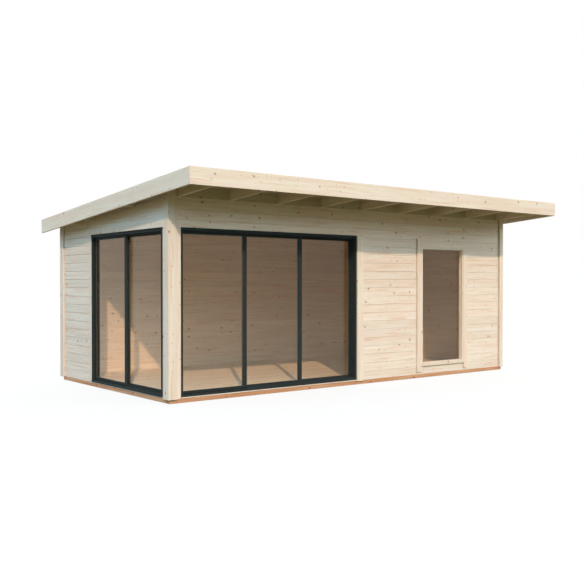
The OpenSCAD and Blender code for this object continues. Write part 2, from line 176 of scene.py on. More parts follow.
# softwood read along each board: bands, growth rings, streaks and knots
def timberFinish(name, look):
    finish, w = newFinish(name)
    grain = w.node("UVMap", {"uv_map": "grain"})
    tone = w.node("Attribute", {"attribute_name": "tone"}, out="Fac")

    def stretched(alongScale, acrossScale):
        return w.node("Mapping", {}, {"Vector": grain, "Scale": (alongScale, acrossScale, 1)})

    def noise(alongScale, acrossScale, detail):
        return w.node("TexNoise", {"noise_dimensions": "2D"},
                      {"Vector": stretched(alongScale, acrossScale), "Scale": 1.0,
                       "Detail": detail, "Roughness": grainLook["noiseRough"]})

    bands = noise(*grainLook["bands"]).ease(*grainLook["bandSpan"])
    fine = noise(*grainLook["fine"])
    streaks = noise(*grainLook["streaks"]).ease(*grainLook["streakSpan"])
    rings = w.node("TexWave", {"wave_type": "BANDS", "bands_direction": "Y"},
                   {"Vector": stretched(grainLook["ringStretch"], 1), "Scale": look["ringScale"],
                    "Distortion": grainLook["ringBend"], "Detail": grainLook["ringDetail"],
                    "Detail Scale": grainLook["ringDetailScale"]}, "Fac")

    # scattered round marks of a few sizes in metres, with a soft halo round each
    def knots(perMetre, share, smallest, spread):
        cells = w.node("TexVoronoi", {"voronoi_dimensions": "2D"},
                       {"Vector": stretched(grainLook["knotStretch"] * perMetre, perMetre), "Scale": 1.0})
        luck = w.node("SeparateColor", {}, {"Color": cells.also("Color")})
        far = cells.also("Distance") / (luck * (spread * perMetre) + smallest * perMetre)
        shown = luck.also("Green") > 1 - share
        core, rim = far.ease(*grainLook["knotSpan"]), far.ease(*grainLook["haloSpan"])
        return shown * (1 - core), shown * (1 - rim)

    knot, halo = knots(look["knotsPerMetre"], look["knotShare"], *grainLook["knotSizes"])
    pin, pinHalo = knots(look["knotsPerMetre"] * grainLook["pinsPerKnot"], look["knotShare"],
                         *grainLook["pinSizes"])

    blush = noise(*grainLook["blush"]).ease(*grainLook["blushSpan"])
    colour = w.blend(bands, look["pale"], look["warm"])
    colour = w.blend(blush * grainLook["blushShare"], colour, look["blush"])
    colour = w.blend(rings * look["ringShare"], colour, look["ring"])
    colour = w.blend(streaks * look["streakShare"], colour, look["streak"])
    colour = w.blend(halo * grainLook["haloShade"], colour, look["halo"])
    colour = w.blend(pinHalo * grainLook["pinHaloShade"], colour, look["halo"])
    colour = w.blend(knot * grainLook["knotShade"], colour, look["knot"])
    colour = w.blend(pin * grainLook["pinShade"], colour, look["knot"])
    colour = w.node("HueSaturation", {}, {"Color": colour, "Value": 1 + tone})
    height = rings * grainLook["ringHeight"] + fine * grainLook["fineHeight"]
    height = height - knot * grainLook["knotHeight"]
    bump = w.node("Bump", {}, {
        "Strength": look["bump"], "Distance": grainLook["bumpDeep"], "Height": height})
    rough = look["rough"] + fine * grainLook["fineRough"] - knot * grainLook["knotRough"]
    shader = w.node("BsdfPrincipled", {}, {
        "Base Color": colour, "Roughness": rough, "Normal": bump,
        "Specular IOR Level": grainLook["specular"]})
    w.node("OutputMaterial", {}, {"Surface": shader})
    return finish


wallFinish = timberFinish("wallSpruce", {
    "pale": tint(242, 233, 221), "warm": tint(237, 222, 205), "blush": tint(236, 210, 195),
    "ring": tint(218, 192, 164), "streak": tint(224, 184, 156), "halo": tint(208, 150, 114),
    "knot": tint(108, 64, 44),
    "ringScale": 30.0, "ringShare": 0.16, "streakShare": 0.55, "knotsPerMetre": 4.6, "knotShare": 0.42,
    "rough": 0.56, "bump": 0.25})
trimFinish = timberFinish("trimSpruce", {
    "pale": tint(239, 230, 216), "warm": tint(234, 219, 200), "blush": tint(232, 209, 193),
    "ring": tint(216, 192, 164), "streak": tint(224, 187, 162), "halo": tint(206, 150, 120),
    "knot": tint(132, 74, 54),
    "ringScale": 36.0, "ringShare": 0.16, "streakShare": 0.5, "knotsPerMetre": 5.5, "knotShare": 0.38,
    "rough": 0.52, "bump": 0.2})
roofFinish = timberFinish("roofSpruce", {
    "pale": tint(236, 227, 207), "warm": tint(228, 214, 189), "blush": tint(228, 206, 182),
    "ring": tint(208, 186, 152), "streak": tint(206, 178, 146), "halo": tint(186, 142, 106),
    "knot": tint(104, 66, 46),
    "ringScale": 32.0, "ringShare": 0.25, "streakShare": 0.4, "knotsPerMetre": 5.0, "knotShare": 0.4,
    "rough": 0.58, "bump": 0.25})
baseFinish = timberFinish("baseTimber", {
    "pale": tint(222, 176, 138), "warm": tint(206, 151, 110), "blush": tint(196, 138, 100),
    "ring": tint(170, 112, 76), "streak": tint(232, 190, 154), "halo": tint(134, 78, 48),
    "knot": tint(70, 38, 24),
    "ringScale": 28.0, "ringShare": 0.4, "streakShare": 0.5, "knotsPerMetre": 5.0, "knotShare": 0.5,
    "rough": 0.62, "bump": 0.35})
floorFinish = timberFinish("floorSpruce", {
    "pale": tint(251, 244, 233), "warm": tint(246, 234, 219), "blush": tint(243, 225, 208),
    "ring": tint(220, 200, 179), "streak": tint(204, 174, 144), "halo": tint(182, 134, 100),
    "knot": tint(102, 64, 44),
    "ringScale": 30.0, "ringShare": 0.3, "streakShare": 0.4, "knotsPerMetre": 4.4, "knotShare": 0.45,
    "rough": 0.46, "bump": 0.2})


coatLook = {"peelScale": 700.0, "driftScale": 3.0, "detail": 2.0, "darkest": 0.9, "driftShare": 0.25,
            "bump": 0.06, "bumpDeep": 0.0004, "rough": 0.42, "peelRough": 0.12, "specular": 0.04}


# powder coat on aluminium: fine orange peel, tone set per bar
def coatFinish(name, colour):
    finish, w = newFinish(name)
    place = w.node("TexCoord", out="Object")
    tone = w.node("Attribute", {"attribute_name": "tone"}, out="Fac")
    detail = coatLook["detail"]
    peel = w.node("TexNoise", {}, {"Vector": place, "Scale": coatLook["peelScale"], "Detail": detail})
    drift = w.node("TexNoise", {}, {"Vector": place, "Scale": coatLook["driftScale"], "Detail": detail})
    value = coatLook["darkest"] + drift * coatLook["driftShare"] + tone
    shade = w.node("HueSaturation", {}, {"Color": colour, "Value": value})
    bump = w.node("Bump", {}, {
        "Strength": coatLook["bump"], "Distance": coatLook["bumpDeep"], "Height": peel})
    rough = coatLook["rough"] + peel * coatLook["peelRough"]
    shader = w.node("BsdfPrincipled", {}, {
        "Base Color": shade, "Roughness": rough, "Normal": bump,
        "Specular IOR Level": coatLook["specular"]})
    w.node("OutputMaterial", {}, {"Surface": shader})
    return finish


coat = coatFinish("anthraciteCoat", tint(48, 55, 55))
spacerMetal = coatFinish("spacerMetal", tint(122, 114, 102))


# clear pane that lets the sun in: see-through, with a mirror that grows towards grazing
def glassFinish(name, look):
    finish, w = newFinish(name)
    mirror = w.node("BsdfPrincipled", {}, {
        "Base Color": look["mirror"], "Metallic": 1.0, "Roughness": look["rough"]})
    through = w.node("BsdfTransparent", {}, {"Color": look["through"]})
    facing = w.node("LayerWeight", {}, {"Blend": look["facingBlend"]}, "Facing")
    share = look["gloss"] + look["graze"] * facing ** look["grazePower"]
    shader = w.node("MixShader", {}, {0: share, 1: through, 2: mirror})
    w.node("OutputMaterial", {}, {"Surface": shader})
    return finish


glass = glassFinish("clearGlass", {
    "mirror": tint(238, 240, 240), "through": tint(252, 247, 240), "rough": 0.02,
    "gloss": 0.026, "graze": 0.7, "grazePower": 5, "facingBlend": 0.5})


# mineral felt: dark granules of several greys
def feltFinish(name, look):
    finish, w = newFinish(name)
    place = w.node("TexCoord", out="Object")
    tone = w.node("Attribute", {"attribute_name": "tone"}, out="Fac")
    granules = w.node("TexVoronoi", {}, {"Vector": place, "Scale": look["granuleScale"]})
    fleck = w.node("SeparateColor", {}, {"Color": granules.also("Color")})
    cloud = w.node("TexNoise", {}, {
        "Vector": place, "Scale": look["cloudScale"], "Detail": look["cloudDetail"]})
    colour = w.blend(fleck, look["dark"], look["light"])
    colour = w.blend(cloud.ease(*look["dustSpan"]) * look["dustShare"], colour, look["dust"])
    colour = w.node("HueSaturation", {}, {"Color": colour, "Value": 1 + tone})
    bump = w.node("Bump", {}, {
        "Strength": look["bump"], "Distance": look["bumpDeep"], "Height": granules.also("Distance")})
    rough = look["rough"] + cloud * look["cloudRough"]
    shader = w.node("BsdfPrincipled", {}, {
        "Base Color": colour, "Roughness": rough, "Normal": bump,
        "Specular IOR Level": look["specular"]})
    w.node("OutputMaterial", {}, {"Surface": shader})
    return finish


felt = feltFinish("roofingFelt", {
    "dark": tint(50, 52, 54), "light": tint(88, 90, 92), "dust": tint(92, 90, 84),
    "granuleScale": 420.0, "cloudScale": 1.6, "cloudDetail": 5.0, "dustSpan": (0.5, 0.75),
    "dustShare": 0.3, "bump": 0.5, "bumpDeep": 0.0012, "rough": 0.82, "cloudRough": 0.12,
    "specular": 0.25})
print("finishes made")


# one piece is one bmesh that boards and bars are added to
def newPiece():
    piece = bmesh.new()
    piece.loops.layers.uv.new("grain")
    piece.faces.layers.float.new("tone")
    return piece


stampSize = {"log": 60, "facingShift": 3.7, "farShift": 1.9}


# where on the log a board was cut, and how light it is
def newStamp(spread=0.05, tone=0.0):
    log = stampSize["log"]
    return dice.uniform(0, log), dice.uniform(0, log), tone + dice.uniform(-spread, spread)


# the grain runs along one axis of the board, and each side reads its own stretch of it
def paintGrain(part, along, stamp):
    shiftAlong, shiftAcross, tone = stamp
    grain = part.loops.layers.uv.new("grain")
    tones = part.faces.layers.float.new("tone")
    for face in part.faces:
        face[tones] = tone
        facing = max(range(3), key=lambda axis: abs(face.normal[axis]))
        first, second = along, 3 - along - facing
        if facing == along:
            first, second = [axis for axis in range(3) if axis != along]
        side = stampSize["facingShift"] * facing + (stampSize["farShift"] if face.normal[facing] > 0 else 0)
        for loop in face.loops:
            spot = loop.vert.co
            loop[grain].uv = (spot[first] + shiftAlong, spot[second] + shiftAcross + side)


scratch = bpy.data.meshes.new("scratch")


# a board or bar between two corners with eased edges, cut by planes and leaned with the roof
def addBoard(piece, low, high, along, ease, stamp=None, planes=(), lean=None, endsToo=False, rounds=1):
    part = bmesh.new()
    bmesh.ops.create_cube(part, size=1)
    bmesh.ops.scale(part, vec=Vector(high) - Vector(low), verts=part.verts)
    bmesh.ops.translate(part, vec=(Vector(low) + Vector(high)) / 2, verts=part.verts)
    eased = [edge for edge in part.edges
             if endsToo or abs(edge.verts[0].co[along] - edge.verts[1].co[along]) > tolerance["same"]]
    bmesh.ops.bevel(part, geom=eased, offset=ease, affect="EDGES", segments=rounds, profile=0.5,
                    material=-1)
    for spot, normal in planes:
        cut = bmesh.ops.bisect_plane(part, geom=part.verts[:] + part.edges[:] + part.faces[:],
                                     plane_co=spot, plane_no=normal, clear_outer=True)
        rim = [item for item in cut["geom_cut"] if isinstance(item, bmesh.types.BMEdge)]
        if rim:
            bmesh.ops.holes_fill(part, edges=rim, sides=0)
    if part.faces:
        bmesh.ops.recalc_face_normals(part, faces=part.faces)
        paintGrain(part, along, stamp or newStamp())
        if lean:
            bmesh.ops.transform(part, matrix=lean, verts=part.verts)
        part.to_mesh(scratch)
        piece.from_mesh(scratch)
    part.free()


# the bmesh becomes an object that rides a body and stands for CAD nodes
def finishPiece(name, piece, finish, nodes=(), body="root"):
    mesh = bpy.data.meshes.new(name)
    piece.to_mesh(mesh)
    piece.free()
    mesh.materials.append(finish)
    made = bpy.data.objects.new(name, mesh)
    scene.collection.objects.link(made)
    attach(made, body)
    if nodes:
        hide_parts(*nodes)


# low and high corners from ranges along a wall, through it and upwards
def corners(along, run, deep, rise):
    low, high = Vector((0, 0, rise[0])), Vector((0, 0, rise[1]))
    low[along], high[along] = run
    low[1 - along], high[1 - along] = deep
    return low, high


# what is left of a board's face round the holes, as plain rectangles
def carve(start, end, foot, top, holes):
    touch, sliver = tolerance["touch"], tolerance["sliver"]
    near = [hole for hole in holes if hole[2] < top - touch and hole[3] > foot + touch]
    stops = sorted({start, end, *(min(max(x, start), end) for hole in near for x in hole[:2])})
    left = []
    for a, b in zip(stops, stops[1:]):
        spans = [(foot, top)]
        for hole in near:
            if hole[0] < (a + b) / 2 < hole[1]:
                spans = [rest for s, e in spans for rest in ((s, min(e, hole[2])), (max(s, hole[3]), e))]
                spans = [(s, e) for s, e in spans if e - s > sliver]
        left += [(a, b, s, e) for s, e in spans]
    return left


wallSize = {"cover": 0.1127, "groove": 0.0034, "frontGap": 0.0007, "sideGap": 0.0011, "tongue": 0.012,
            "tongueBack": 0.01, "tongueEase": 0.001, "slotWide": 0.020, "slotDeep": 0.020,
            "windowSlot": 0.010, "slotTop": 9.0, "holePast": 1.0, "tone": 0.04}


# horizontal boards with V grooves on both faces, round the openings and upright slots
def boardWall(name, along, run, deep, foot, roofRise, holes, slots, outer, nodes):
    piece = newPiece()
    roofSpot = Vector((0, 0, roofZero + roofRise - roofSize["seatGap"]))
    planes = [(roofSpot, roofNormal)]
    top = roofZero + roofRise - slope * frontY
    gap = wallSize["frontGap" if along == 0 else "sideGap"]
    cover, half = wallSize["cover"], wallSize["tongue"] / 2
    middle = (deep[0] + deep[1]) / 2 - outer * wallSize["tongueBack"]
    for course in range(math.ceil((top - foot) / cover)):
        z = foot + course * cover
        stamp = newStamp(wallSize["tone"])
        parts = [(rect, deep) for rect in carve(*run, z, z + cover, holes + slots)]
        for a, b, s, e, cut in slots:
            s, e = max(s, z), min(e, z + cover)
            if e - s > tolerance["sliver"]:
                thin = (deep[0] + cut, deep[1]) if outer < 0 else (deep[0], deep[1] - cut)
                parts.append(((a, b, s, e), thin))
        for (a, b, s, e), thick in parts:
            low, high = corners(along, (a, b), thick, (s + gap, e - gap))
            addBoard(piece, low, high, along, wallSize["groove"], stamp, planes)
    # tongues behind the joints
    for a, b, s, e in carve(*run, foot, top, holes):
        low, high = corners(along, (a, b), (middle - half, middle + half), (s, e))
        addBoard(piece, low, high, along, wallSize["tongueEase"], newStamp(), planes)
    finishPiece(name, piece, wallFinish, nodes)


# a slot runs the wall's height unless it is given a foot and a top
def slotBeside(edge, side, foot=0.0, top=wallSize["slotTop"], cut=wallSize["slotDeep"]):
    wide = wallSize["slotWide"]
    return (edge - wide, edge, foot, top, cut) if side < 0 else (edge, edge + wide, foot, top, cut)


windowSize = {"frameWide": 0.027, "headTall": 0.057, "trimThick": 0.023, "sillTall": 0.048, "bead": 0.005,
              "ease": 0.002, "sillEase": 0.004}
windowHole = (windowLow.x - windowSize["frameWide"], windowHigh.x + windowSize["frameWide"],
              windowLow.z - windowSize["frameWide"], windowHigh.z + windowSize["frameWide"])
windowHeadTop = windowHigh.z + windowSize["headTall"]
rafterRise = roofSize["rafterDeep"]
sideRun = (frontY + wallThick, backY - wallThick)
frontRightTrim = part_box("front_right_corner_trim")
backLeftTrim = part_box("back_left_corner_trim")
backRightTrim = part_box("back_right_corner_trim")

boardWall("frontWallBoards", 0, (leftX, rightX), (frontY, frontY + wallThick), baseTop, 0.0,
          [(leftX - wallSize["holePast"], doorRight, 0.0, doorTop), windowHole],
          [slotBeside(frontRightTrim[0].x, -1),
           slotBeside(windowTrimLow.x, -1, windowTrimLow.z, windowTrimHigh.z, wallSize["windowSlot"]),
           slotBeside(windowTrimHigh.x, 1, windowTrimLow.z, windowHeadTop, wallSize["windowSlot"])],
          -1, ["front_wall_header", "front_wall_panel"])
boardWall("leftWallBoards", 1, sideRun, (leftX, leftX + wallThick), baseTop, rafterRise,
          [(frontY - wallSize["holePast"], doorBack, 0.0, doorTop)], [], -1,
          ["left_wall_header", "left_wall_panel"])
boardWall("rightWallBoards", 1, sideRun, (rightX - wallThick, rightX), baseTop, rafterRise,
          [], [slotBeside(frontRightTrim[1].y, 1)], 1, ["right_wall"])
boardWall("backWallBoards", 0, (leftX, rightX), (backY - wallThick, backY), baseTop, 0.0,
          [], [slotBeside(backLeftTrim[1].x, 1), slotBeside(backRightTrim[0].x, -1)],
          1, ["back_wall"])
print("walls boarded")


postSize = {"ease": 0.003}


# post between the doorways: a plank on each side of the corner
def cornerPost():
    low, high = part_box("front_left_post")
    ease = postSize["ease"]
    piece = newPiece()
    addBoard(piece, low, (high.x, frontY + wallThick, high.z), 2, ease)
    addBoard(piece, (low.x, frontY + wallThick, low.z), (leftX + wallThick, high.y, high.z), 2, ease)
    finishPiece("cornerPost", piece, wallFinish, ["front_left_post"])


cornerPost()

groundSize = {"beamWide": 0.070, "beamEase": 0.004, "joistWide": 0.045, "joistEase": 0.003, "joistCount": 7,
              "floorCover": 0.120, "floorEase": 0.0015, "floorTone": 0.06}


# beams round the edge, joists between them
def groundFrame():
    low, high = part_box("base_beams")
    beam, joist, ease = groundSize["beamWide"], groundSize["joistWide"], groundSize["beamEase"]
    piece = newPiece()
    for y in (low.y, high.y - beam):
        addBoard(piece, (low.x, y, low.z), (high.x, y + beam, high.z), 0, ease)
    for x in (low.x, high.x - beam):
        addBoard(piece, (x, low.y + beam, low.z), (x + beam, high.y - beam, high.z), 1, ease)
    pitch = (high.x - low.x - 2 * beam - joist) / (groundSize["joistCount"] + 1)
    for i in range(1, groundSize["joistCount"] + 1):
        x = low.x + beam + i * pitch
        addBoard(piece, (x, low.y + beam, low.z), (x + joist, high.y - beam, high.z), 1,
                 groundSize["joistEase"])
    finishPiece("groundFrame", piece, baseFinish,
                ["base_beams", "base_end_beams", "floor_joists"])


def floorBoards():
    low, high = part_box("floor_deck")
    piece = newPiece()
    cover = groundSize["floorCover"]
    for i in range(math.ceil((high.y - low.y) / cover)):
        y = low.y + i * cover
        addBoard(piece, (low.x, y, low.z), (high.x, min(y + cover, high.y), high.z), 0,
                 groundSize["floorEase"], newStamp(groundSize["floorTone"]))
    finishPiece("floorBoards", piece, floorFinish, ["floor_deck"])


groundFrame()
floorBoards()
print("base and floor laid")

trimSize = {"thick": 0.023, "ease": 0.0025, "faceTone": (0.01, -0.02), "edgeTone": (0.01, 0.0),
            "thresholdEase": 0.003}


# two upright boards that meet at a wall corner; the front or back one covers the edge of the other,
# and at the back a post fills the room between them and the wall
def cornerTrims():
    thick, ease = trimSize["thick"], trimSize["ease"]
    for node, towardsX, towardsY in (("door_corner_trim", -1, -1), ("front_right_corner_trim", 1, -1),
                                     ("back_left_corner_trim", -1, 1), ("back_right_corner_trim", 1, 1)):
        low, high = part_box(node)
        piece = newPiece()
        face = (low.y, low.y + thick) if towardsY < 0 else (high.y - thick, high.y)
        rest = (low.y + thick, high.y) if towardsY < 0 else (low.y, high.y - thick)
        edge = (low.x, low.x + thick) if towardsX < 0 else (high.x - thick, high.x)
        inside = (low.x + thick, high.x) if towardsX < 0 else (low.x, high.x - thick)
        addBoard(piece, (low.x, face[0], low.z), (high.x, face[1], high.z), 2, ease,
                 newStamp(*trimSize["faceTone"]), endsToo=True)
        addBoard(piece, (edge[0], rest[0], low.z), (edge[1], rest[1], high.z), 2, ease,
                 newStamp(*trimSize["edgeTone"]), endsToo=True)
        if towardsY > 0:
            addBoard(piece, (inside[0], backY, low.z), (inside[1], face[0], high.z), 2, ease, endsToo=True)
        finishPiece(node.replace("_", "") + "Boards", piece, trimFinish, [node])


# upright boards beside the doorways, and the thresholds under the doors
def doorTrims():
    low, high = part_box("door_trims")
    ease = trimSize["ease"]
    piece = newPiece()
    addBoard(piece, (doorRight, low.y, low.z), (high.x, frontY, high.z), 2, ease, endsToo=True)
    addBoard(piece, (low.x, doorBack, low.z), (leftX, high.y, high.z), 2, ease, endsToo=True)
    finishPiece("doorTrimBoards", piece, trimFinish, ["door_trims"])
    low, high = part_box("door_thresholds")
    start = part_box("front_door_sill")[0].x
    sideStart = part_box("side_door_sill")[0].y
    ease = trimSize["thresholdEase"]
    piece = newPiece()
    addBoard(piece, (start, low.y, low.z), (doorRight, frontY + wallThick, high.z), 0, ease)
    addBoard(piece, (low.x, sideStart, low.z), (leftX + wallThick, doorBack, high.z), 1, ease)
    finishPiece("doorThresholds", piece, trimFinish, ["door_thresholds"])


lintelSize = {"trimGap": 0.0005, "eaveGap": 0.001, "tone": 0.01}


# flat lintel board over the side door, level with the face of the corner trim and cut under the eave
def sideLintel():
    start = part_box("door_corner_trim")[1].y + lintelSize["trimGap"]
    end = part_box("door_trims")[1].y
    top = roofZero - slope * start
    under = [(Vector((0, 0, roofZero - lintelSize["eaveGap"])), roofNormal)]
    piece = newPiece()
    addBoard(piece, (leftX - trimSize["thick"], start, doorTop), (leftX, end, top), 1, trimSize["ease"],
             newStamp(lintelSize["tone"]), under)
    finishPiece("sideLintelBoard", piece, wallFinish)


# four bars round an opening; the level ones run the full width, and timber bars get grain of their own
def addRing(piece, along, run, rise, deep, sides, ease, tone=0.0, timber=False):
    side, foot, top = sides
    stamp = None if timber else (0, 0, tone)
    for z0, z1 in ((rise[0], rise[0] + foot), (rise[1] - top, rise[1])):
        addBoard(piece, *corners(along, run, deep, (z0, z1)), along, ease, stamp)
    for a, b in ((run[0], run[0] + side), (run[1] - side, run[1])):
        addBoard(piece, *corners(along, (a, b), deep, (rise[0] + foot, rise[1] - top)), 2, ease, stamp)


# trim boards and sill, then the frame with its beads
def windowSurround():
    face, ease = frontY - windowSize["trimThick"], trimSize["ease"]
    left, right, foot, frameTop = windowHole
    sillFoot = windowLow.z - windowSize["sillTall"]
    piece = newPiece()
    addBoard(piece, (windowTrimLow.x, face, windowTrimLow.z), (left, frontY, windowTrimHigh.z), 2, ease,
             endsToo=True)
    addBoard(piece, (right, face, windowTrimLow.z), (windowTrimHigh.x, frontY, windowHeadTop), 2, ease,
             endsToo=True)
    addBoard(piece, (left, face, frameTop), (right, frontY, windowHeadTop), 0, ease, endsToo=True)
    addBoard(piece, (left, windowTrimLow.y, sillFoot), (right, frontY, windowLow.z), 0,
             windowSize["sillEase"], endsToo=True, rounds=2)
    finishPiece("windowTrimBoards", piece, trimFinish, ["window_trim"])
    # the frame's sides and head stand proud of the wall, its foot lies behind the sill board
    low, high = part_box("window_frame")
    ease = windowSize["ease"]
    piece = newPiece()
    addBoard(piece, (left, frontY, foot), (right, high.y, windowLow.z), 0, ease)
    addBoard(piece, (left, low.y, windowHigh.z), (right, high.y, frameTop), 0, ease)
    for a, b in ((left, windowLow.x), (windowHigh.x, right)):
        addBoard(piece, (a, low.y, windowLow.z), (b, high.y, windowHigh.z), 2, ease)
    # glazing beads in front of and behind the pane
    bead = windowSize["bead"]
    for deep in ((windowLow.y - bead, windowLow.y), (windowHigh.y, windowHigh.y + bead)):
        addRing(piece, 0, (windowLow.x, windowHigh.x), (windowLow.z, windowHigh.z), deep,
                (bead, bead, bead), ease, timber=True)
    finishPiece("windowFrameBars", piece, trimFinish, ["window_frame"])


cornerTrims()
doorTrims()
sideLintel()
windowSurround()
print("trims and window set")


# boards that follow the roof are made level, then leaned
def addRoofBoard(piece, x, y, rise, along, ease, stamp=None, planes=(), endsToo=False):
    addBoard(piece, (x[0], y[0], roofZero + rise[0]), (x[1], y[1], roofZero + rise[1]), along, ease, stamp,
             planes, roofLean, endsToo)


# rafters, lookouts, blocking over the walls, and the boards on top; the blocking and the boards carry
# painted shade, their tone darkened
def roofTimbers():
    wide, deep, gap = roofSize["rafterWide"], roofSize["rafterDeep"], roofSize["seatGap"]
    count, ease = roofSize["rafterCount"], roofSize["ease"]
    pitch = (rafterHigh.x - wide - rafterLow.x) / (count - 1)
    starts = [rafterLow.x + i * pitch for i in range(count)]
    # the tails taper behind the back wall
    tailRun, tailRise = rafterHigh.y - backY, deep - roofSize["tailDeep"]
    tailCut = [(Vector((0, backY, roofZero)), Vector((0, tailRise, -tailRun)).normalized())]
    piece = newPiece()
    for x in starts:
        addRoofBoard(piece, (x, x + wide), (rafterLow.y, rafterHigh.y), (0, deep), 1, ease, planes=tailCut)
    finishPiece("rafterTimbers", piece, roofFinish, ["rafters"])

    low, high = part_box("lookouts")
    across = roofSize["lookoutWide"]
    piece = newPiece()
    for y in (low.y, high.y - across):
        for x in ((low.x, leftX), (rightX, high.x)):
            addRoofBoard(piece, x, (y, y + across), (0, deep - gap), 0, ease)
    finishPiece("lookoutTimbers", piece, roofFinish, ["lookouts"])

    bays = [(leftX, starts[0]), *((x + wide, x + pitch) for x in starts[:-1]), (starts[-1] + wide, rightX)]
    for name, node, y in (("frontBlockingBoards", "front_blocking", (frontY, frontY + wallThick)),
                          ("backBlockingBoards", "back_blocking", (backY - wallThick, backY))):
        piece = newPiece()
        for a, b in bays:
            # painted shade: each blocking board's tone is darkened
            addRoofBoard(piece, (a + gap, b - gap), y, (0, deep - gap), 0, ease,
                         newStamp(*roofSize["blockingPaintedShade"]))
        finishPiece(name, piece, roofFinish, [node])

    cover, thick = roofSize["deckCover"], roofSize["deckThick"]
    piece = newPiece()
    for i in range(math.ceil((deckHigh.y - deckLow.y) / cover)):
        y = deckLow.y + i * cover
        # painted shade: the roof boards' tone is darkened
        addRoofBoard(piece, (deckLow.x, deckHigh.x), (y, min(y + cover, deckHigh.y)), (deep, deep + thick),
                     0, roofSize["deckEase"], newStamp(*roofSize["deckPaintedShade"]))
    finishPiece("roofBoards", piece, roofFinish, ["roof_deck"])


fasciaSize = {"thick": 0.028, "drop": 0.024, "ease": 0.003, "tone": (0.005, -0.035)}


# upright boards at the front and back, and leaning ones at the sides
def fasciaBoards():
    thick, drop, ease = fasciaSize["thick"], fasciaSize["drop"], fasciaSize["ease"]
    for name, node in (("frontFasciaBoard", "front_fascia"), ("backFasciaBoard", "back_fascia")):
        low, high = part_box(node)
        piece = newPiece()
        addBoard(piece, low, high, 0, ease, newStamp(*fasciaSize["tone"]), endsToo=True, rounds=2)
        finishPiece(name, piece, trimFinish, [node])
    low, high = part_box("side_fascias")
    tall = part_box("front_fascia")[1].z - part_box("front_fascia")[0].z
    piece = newPiece()
    for x in (low.x, high.x - thick):
        addRoofBoard(piece, (x, x + thick), (low.y, high.y), (-drop, tall - drop), 1, ease, endsToo=True)
    finishPiece("sideFasciaBoards", piece, trimFinish, ["side_fascias"])


feltSize = {"strip": 1.02, "lap": 0.08, "thick": 0.0025, "ease": 0.0008, "step": 0.0015, "tone": 0.1,
            "beadBack": 0.002, "beadFront": 0.004, "beadRise": 0.001, "beadEase": 0.0006, "beadTone": -0.5,
            "kerb": 0.014, "kerbEase": 0.006}


# felt strips from the low edge up, lapped and sealed with a bead, and kerbs along the fascias
def feltStrips():
    low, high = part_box("roof_felt")
    rise = roofSize["rafterDeep"] + roofSize["deckThick"]
    wide, strip, foot = (low.x, high.x), feltSize["strip"], rise + feltSize["thick"]
    piece = newPiece()
    for i in range(math.ceil((high.y - low.y) / strip)):
        end = high.y - i * strip + (feltSize["lap"] if i else 0)
        start = max(high.y - (i + 1) * strip, low.y)
        step = feltSize["step"] * (i % 2)
        addRoofBoard(piece, wide, (start, end), (rise + step, foot + step), 0, feltSize["ease"],
                     newStamp(feltSize["tone"]))
        if i:
            addRoofBoard(piece, wide, (end - feltSize["beadBack"], end + feltSize["beadFront"]),
                         (rise, foot + feltSize["beadRise"]), 0, feltSize["beadEase"],
                         (0, 0, feltSize["beadTone"]))
    kerb, ease = feltSize["kerb"], feltSize["kerbEase"]
    for y in ((low.y, low.y + kerb), (high.y - kerb, high.y)):
        addRoofBoard(piece, wide, y, (foot, foot + kerb), 0, ease)
    for x in ((low.x, low.x + kerb), (high.x - kerb, high.x)):
        addRoofBoard(piece, x, (low.y + kerb, high.y - kerb), (foot, foot + kerb), 1, ease)
    finishPiece("feltStrips", piece, felt, ["roof_felt"])


roofTimbers()
fasciaBoards()
feltStrips()
print("roof closed")


frameSize = {"ease": 0.0012, "rounds": 2, "weld": 0.00001}


# CAD shapes that stay: the finish goes on and the bars' edges are eased
def dressNode(node, finish, ease=frameSize["ease"]):
    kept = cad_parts[node]
    kept.data.materials.clear()
    kept.data.materials.append(finish)
    if ease:
        kept.modifiers.new("weld", "WELD").merge_threshold = frameSize["weld"]
        rounding = kept.modifiers.new("ease", "BEVEL")
        rounding.width, rounding.segments, rounding.limit_method = ease, frameSize["rounds"], "ANGLE"


for node in ("front_door_head", "front_door_sill", "front_door_jambs",
             "side_door_head", "side_door_sill", "side_door_jambs"):
    dressNode(node, coat)
for node in ("window_glass", "front_glass_left", "front_glass_middle", "front_glass_right",
             "side_glass_back", "side_glass_front"):
    dressNode(node, glass, 0)

sashSize = {"bead": 0.006, "beadBack": 0.004, "seal": 0.0015, "ease": 0.0014, "slotWide": 0.011,
            "footSlot": 0.0123, "headSlot": 0.016, "flangeEase": 0.0004, "beadTone": 0.12,
            "sealThick": 0.002, "sealEase": 0.0006, "sealTone": -0.6,
            "spacer": 0.0025, "spacerThick": 0.005, "spacerEase": 0.0005,
            "leftSlim": 0.009, "middleSlim": 0.014, "rightSlim": 0.026}


